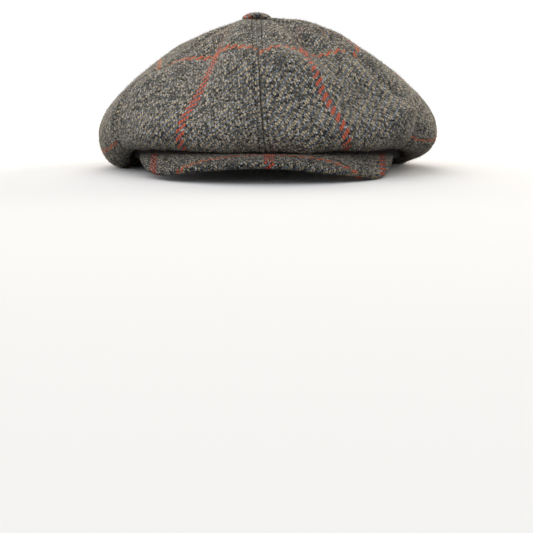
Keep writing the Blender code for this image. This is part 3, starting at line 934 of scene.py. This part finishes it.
def geometry_group(name, inputs):
    """A geometry node group with its named inputs, its given values and its output node."""
    tree = bpy.data.node_groups.new(name, "GeometryNodeTree")
    inputs = (("Geometry", "Geometry", None), *inputs)
    return tree, *sockets_for(tree, inputs, (("Geometry", "Geometry"),))


def random_between(tree, given, low, high):
    """A random value that follows the group's seed."""
    return add_node(tree, "FunctionNodeRandomValue", {
        2: low, 3: high, "Seed": given["Seed"]}, data_type="FLOAT").outputs[1]


def dyed_result(tree, given, result, geometry):
    """Set the material of a group's finished geometry and hand it out."""
    dyed = add_node(tree, "GeometryNodeSetMaterial", {
        "Geometry": geometry, "Material": given["Material"]})
    feed(tree, result, {"Geometry": dyed.outputs[0]})


def make_stitch_group():
    """Puts one long round stitch on each point of a row, turned along the row."""
    tree, given, result = geometry_group("stitch_row", (
        ("Stitch Length", "Float", STITCH_LENGTH),
        ("Thread Thickness", "Float", STITCH_THICKNESS),
        ("Seed", "Int", 3),
        ("Material", "Material", None),
    ))
    thick, long = given["Thread Thickness"], given["Stitch Length"]
    row = add_node(tree, "GeometryNodeMeshToCurve", {"Mesh": given["Geometry"]})
    ball = add_node(tree, "GeometryNodeMeshUVSphere", {"Segments": 8, "Rings": 6, "Radius": 0.5})
    stitch = add_node(tree, "GeometryNodeTransform", {
        "Geometry": ball.outputs["Mesh"], "Scale": node_vector(tree, thick, thick, long)})
    along = add_node(tree, "GeometryNodeInputTangent")
    turn = add_node(tree, "FunctionNodeAlignRotationToVector", {"Vector": along.outputs[0]},
                    axis="Z")
    placed = add_node(tree, "GeometryNodeInstanceOnPoints", {
        "Points": row.outputs["Curve"], "Instance": stitch.outputs[0],
        "Rotation": turn.outputs[0], "Scale": random_between(tree, given, *STITCH_UNEVEN)})
    solid = add_node(tree, "GeometryNodeRealizeInstances", {0: placed.outputs[0]})
    dyed_result(tree, given, result, solid.outputs[0])
    return tree


def thread_material(name, colour, dark):
    """Twisted sewing thread."""
    material, tree, shader = new_material(name, {"Roughness": 0.75, "Specular IOR Level": 0.25})
    place = add_node(tree, "ShaderNodeTexCoord")
    twist = add_node(tree, "ShaderNodeTexWave", {
        "Vector": place.outputs["Object"], "Scale": 900, "Distortion": 1.5})
    feed(tree, shader, {"Base Color": node_mix(tree, twist.outputs["Fac"], dark, colour)})
    return material


def stitch_points(gore, side):
    """The middles of the stitches beside one seam of a gore, from the button to the hem."""
    share = np.clip(TOPSTITCH_AWAY / gore_width(gore), 0, 0.5)[:, None]
    points, _ = crown_cloth(gore, share if side == "left" else 1 - share)
    points = points[:, 0]
    steps = np.linalg.norm(np.diff(points, axis=0, prepend=points[:1]), axis=1)
    down = APEX_HOLE + np.cumsum(steps)
    first = math.ceil(STITCH_FROM / TOPSTITCH_PITCH)
    last = down[row_stages() <= STITCH_LAST_STAGE][-1] / TOPSTITCH_PITCH
    places = np.arange(first, last) * TOPSTITCH_PITCH
    x, y, z = (np.interp(places, down, points[:, i]) for i in range(3))
    return np.stack([x, y, np.maximum(z, STITCH_THICKNESS * STITCH_CLEAR)], -1)


def make_topstitching(group, material):
    """All the rows of topstitching on the crown."""
    for row in GORES:
        gore = dict(zip(GORE_COLUMNS, row))
        verts, edges = [], []
        for side in ("left", "right"):
            points = stitch_points(gore, side)
            edges += [(i, i + 1) for i in range(len(verts), len(verts) + len(points) - 1)]
            verts += points.tolist()
        base = bpy.data.meshes.new("stitch_rows")
        base.from_pydata(verts, edges, [])
        grown("stitches_" + gore["name"], base, group, {}, material)


make_topstitching(make_stitch_group(),
                  thread_material("dark_thread", (0.03, 0.03, 0.034, 1), (0.010, 0.011, 0.014, 1)))

# ---- Nap ---------------------------------------------------------------------
# Loose wool fibres stand up from the tweed all over, beige, grey and a few almost black. They
# soften the cap's outline and veil the check where the cloth is seen edge on.

NAP_PER_AREA = 9.5e5
NAP_LENGTH = 1.0 * MM
NAP_WIDTH = 0.075 * MM
NAP_SIZES = (0.35, 1.25)
NAP_SEED = 15

# A fibre's bend: its start, middle and end, in fibre lengths
NAP_BEND = {"Start": (0, 0, -0.05), "Middle": (0.25, 0, 0.45), "End": (0.85, 0, 0.50)}

# The peak's nap is sparser and shorter than the crown's, and the button's is shorter
PEAK_NAP = {"Seed": 5, "Fibres per Area": NAP_PER_AREA * 0.4, "Fibre Length": NAP_LENGTH * 0.8}
BUTTON_NAP = {"Seed": 8, "Fibre Length": NAP_LENGTH * 0.7}

# Where the fibres' colours lie between the darkest and the lightest wool
NAP_TONES = ((0.30, (0.012, 0.014, 0.020, 1)), (0.44, (0.10, 0.10, 0.10, 1)),
             (0.55, (0.30, 0.25, 0.18, 1)), (0.70, (0.62, 0.55, 0.44, 1)))


def make_nap_group():
    """Scatters bent flat fibres over a surface, with random lean, turn and length.

    The floor presses flat those beneath the cap.
    """
    tree, given, result = geometry_group("wool_nap", (
        ("Fibres per Area", "Float", NAP_PER_AREA),
        ("Fibre Length", "Float", NAP_LENGTH),
        ("Fibre Width", "Float", NAP_WIDTH),
        ("Lean", "Float", 0.9),
        ("Seed", "Int", 11),
        ("Material", "Material", None),
    ))
    calc = partial(node_math, tree)
    scatter = add_node(tree, "GeometryNodeDistributePointsOnFaces", {
        "Mesh": given["Geometry"], "Density": given["Fibres per Area"], "Seed": given["Seed"]})
    bent = add_node(tree, "GeometryNodeCurveQuadraticBezier", {"Resolution": 2, **NAP_BEND})
    width = calc("DIVIDE", given["Fibre Width"], given["Fibre Length"])
    edge = add_node(tree, "GeometryNodeCurvePrimitiveLine", {"End": node_vector(tree, width)})
    blade = add_node(tree, "GeometryNodeCurveToMesh", {
        "Curve": bent.outputs[0], "Profile Curve": edge.outputs[0]})
    forward, back = given["Lean"], calc("MULTIPLY", given["Lean"], -1.0)
    lean = add_node(tree, "FunctionNodeRandomValue", {
        0: node_vector(tree, back, back, -math.pi),
        1: node_vector(tree, forward, forward, math.pi),
        "Seed": given["Seed"],
    }, data_type="FLOAT_VECTOR")
    turn = add_node(tree, "FunctionNodeEulerToRotation", {0: lean.outputs[0]})
    upright = add_node(tree, "FunctionNodeRotateRotation", {
        0: scatter.outputs["Rotation"], 1: turn.outputs[0]}, rotation_space="LOCAL")
    shortest, longest = (calc("MULTIPLY", given["Fibre Length"], share) for share in NAP_SIZES)
    placed = add_node(tree, "GeometryNodeInstanceOnPoints", {
        "Points": scatter.outputs["Points"], "Instance": blade.outputs[0],
        "Rotation": upright.outputs[0], "Scale": random_between(tree, given, shortest, longest)})
    solid = add_node(tree, "GeometryNodeRealizeInstances", {0: placed.outputs[0]})
    x, y, z = node_split(tree, add_node(tree, "GeometryNodeInputPosition").outputs[0])
    pressed = add_node(tree, "GeometryNodeSetPosition", {
        "Geometry": solid.outputs[0],
        "Position": node_vector(tree, x, y, calc("MAXIMUM", z, 0.0))})
    dyed_result(tree, given, result, pressed.outputs[0])
    return tree


def nap_material(name):
    """Wool fibres whose colour changes from one to the next."""
    material, tree, shader = new_material(name, {"Roughness": 0.8, "Specular IOR Level": 0.2})
    place = add_node(tree, "ShaderNodeTexCoord")
    patch = add_node(tree, "ShaderNodeTexNoise", {
        "Vector": place.outputs["Object"], "Scale": 900, "Detail": 0})
    tone = add_node(tree, "ShaderNodeValToRGB", {0: patch.outputs[0]})
    stops = tone.color_ramp.elements
    stops = [*stops, *(stops.new(0.5) for _ in NAP_TONES[2:])]
    for (position, colour), stop in zip(NAP_TONES, stops):
        stop.position = position
        stop.color = colour
    feed(tree, shader, {"Base Color": tone.outputs[0]})
    return material


def make_nap():
    """The nap of the six gores, the peak and the button."""
    group = make_nap_group()
    wool = nap_material("wool_nap")
    names = [row[0] for row in GORES]
    cloths = [("nap_" + name, "gore_" + name, {"Seed": NAP_SEED + len(name)}) for name in names]
    cloths += [("nap_peak", "stiff_peak", PEAK_NAP), ("nap_button", "covered_button", BUTTON_NAP)]
    for name, base, values in cloths:
        grown(name, bpy.data.objects[base].data.copy(), group, values, wool)


make_nap()

# ---- Studio ------------------------------------------------------------------
# A plain pale floor under soft light, and a camera straight in front at half the cap's height.

FLOOR_HALF = 6.0
FLOOR_SEEN = (0.92, 0.92, 0.92, 1)
FLOOR_BOUNCE = (0.22, 0.23, 0.25, 1)

# Beyond FLOOR_LIFT_FROM metres the camera sees the floor lifted towards white, FLOOR_LIFT_GROWS
# for each metre, so that no horizon shows
FLOOR_LIFT_FROM = 0.8
FLOOR_LIFT_GROWS = 0.4
FLOOR_LIFT_MOST = 0.25

BLACK, WHITE = (0, 0, 0, 1), (1, 1, 1, 1)


def camera_share(tree):
    """1 for what the camera itself sees, and 0 for other rays."""
    return add_node(tree, "ShaderNodeLightPath").outputs["Is Camera Ray"]


corners = [(x * FLOOR_HALF, y * FLOOR_HALF, 0) for x, y in ((-1, -1), (1, -1), (1, 1), (-1, 1))]
floor_mesh = bpy.data.meshes.new("floor")
floor_mesh.from_pydata(corners, [], [(0, 1, 2, 3)])
floor = in_scene("floor", floor_mesh)
pale, tree, shader = new_material("pale_floor", {"Roughness": 1.0, "Emission Strength": 1.0})
seen = camera_share(tree)
away = add_node(tree, "ShaderNodeVectorMath", {
    0: add_node(tree, "ShaderNodeTexCoord").outputs["Object"]}, operation="LENGTH")
lift = node_math(tree, "MULTIPLY_ADD", away.outputs["Value"], FLOOR_LIFT_GROWS,
                 -FLOOR_LIFT_GROWS * FLOOR_LIFT_FROM)
lift = node_math(tree, "MULTIPLY", node_clamp(tree, lift, 0.0, FLOOR_LIFT_MOST), seen)
feed(tree, shader, {"Base Color": node_mix(tree, seen, FLOOR_BOUNCE, FLOOR_SEEN),
                    "Emission Color": node_mix(tree, lift, BLACK, WHITE)})
floor_mesh.materials.append(pale)

# The light from all round as the cap gets it: its strength, what that gains for each of the three
# directions, and its least. The camera sees plain white.
AROUND_STRENGTH = 0.675
AROUND_GAINS = (-0.30, -0.455, -0.14)
AROUND_LEAST = 0.05
AROUND_COLOUR = (0.97, 0.99, 1.03, 1)

world = bpy.data.worlds.new("studio")
world.use_nodes = True
bpy.context.scene.world = world
tree = world.node_tree
strength = AROUND_STRENGTH
towards = node_split(tree, add_node(tree, "ShaderNodeTexCoord").outputs["Generated"])
for gain, part in zip(AROUND_GAINS, towards):
    strength = node_math(tree, "MULTIPLY_ADD", part, gain, strength)
glow = add_node(tree, "ShaderNodeBackground", {
    "Color": AROUND_COLOUR, "Strength": node_math(tree, "MAXIMUM", strength, AROUND_LEAST)})
backdrop = tree.nodes["Background"]
feed(tree, backdrop, {"Color": WHITE, "Strength": 1.0})
choose = add_node(tree, "ShaderNodeMixShader", {
    0: camera_share(tree), 1: glow.outputs[0], 2: backdrop.outputs[0]})
feed(tree, tree.nodes["World Output"], {"Surface": choose.outputs[0]})

sun = bpy.data.lights.new("overhead", "SUN")
sun.energy = 1.8
sun.color = (1.0, 0.955, 0.875)
sun.angle = math.radians(45)
overhead = in_scene("overhead", sun)
overhead.rotation_euler = (math.radians(-56), math.radians(-6), 0)

# Two soft panels behind the cap light both edges of the crown
PANEL_SIZE = 0.6
PANEL_ASIDE, PANEL_BEHIND, PANEL_UP = 0.72, 0.84, 0.28
PANEL_PITCH, PANEL_TURN = 78, 41

for side, way, energy in (("left", 1, 5.4), ("right", -1, 9.6)):
    panel = bpy.data.lights.new("soft_panel_" + side, "AREA")
    panel.energy = energy
    panel.size = PANEL_SIZE
    panel.color = (1.0, 0.90, 0.76)
    hung = in_scene("soft_panel_" + side, panel)
    hung.location = (-PANEL_ASIDE * way, PANEL_BEHIND, PANEL_UP)
    hung.rotation_euler = (math.radians(PANEL_PITCH), 0, math.radians(180 + PANEL_TURN * way))

CAMERA_AWAY = 0.750
CAMERA_UP = 0.050
CAMERA_PITCH = math.radians(81.4)

lens = bpy.data.cameras.new("camera")
lens.lens = 80.5
lens.sensor_width = 36
camera = in_scene("camera", lens)
camera.location = (0, HEAD_CENTRE_Y - CAMERA_AWAY, CAMERA_UP)
camera.rotation_euler = (CAMERA_PITCH, 0, 0)
bpy.context.scene.camera = camera
bpy.context.scene.view_settings.view_transform = "Standard"
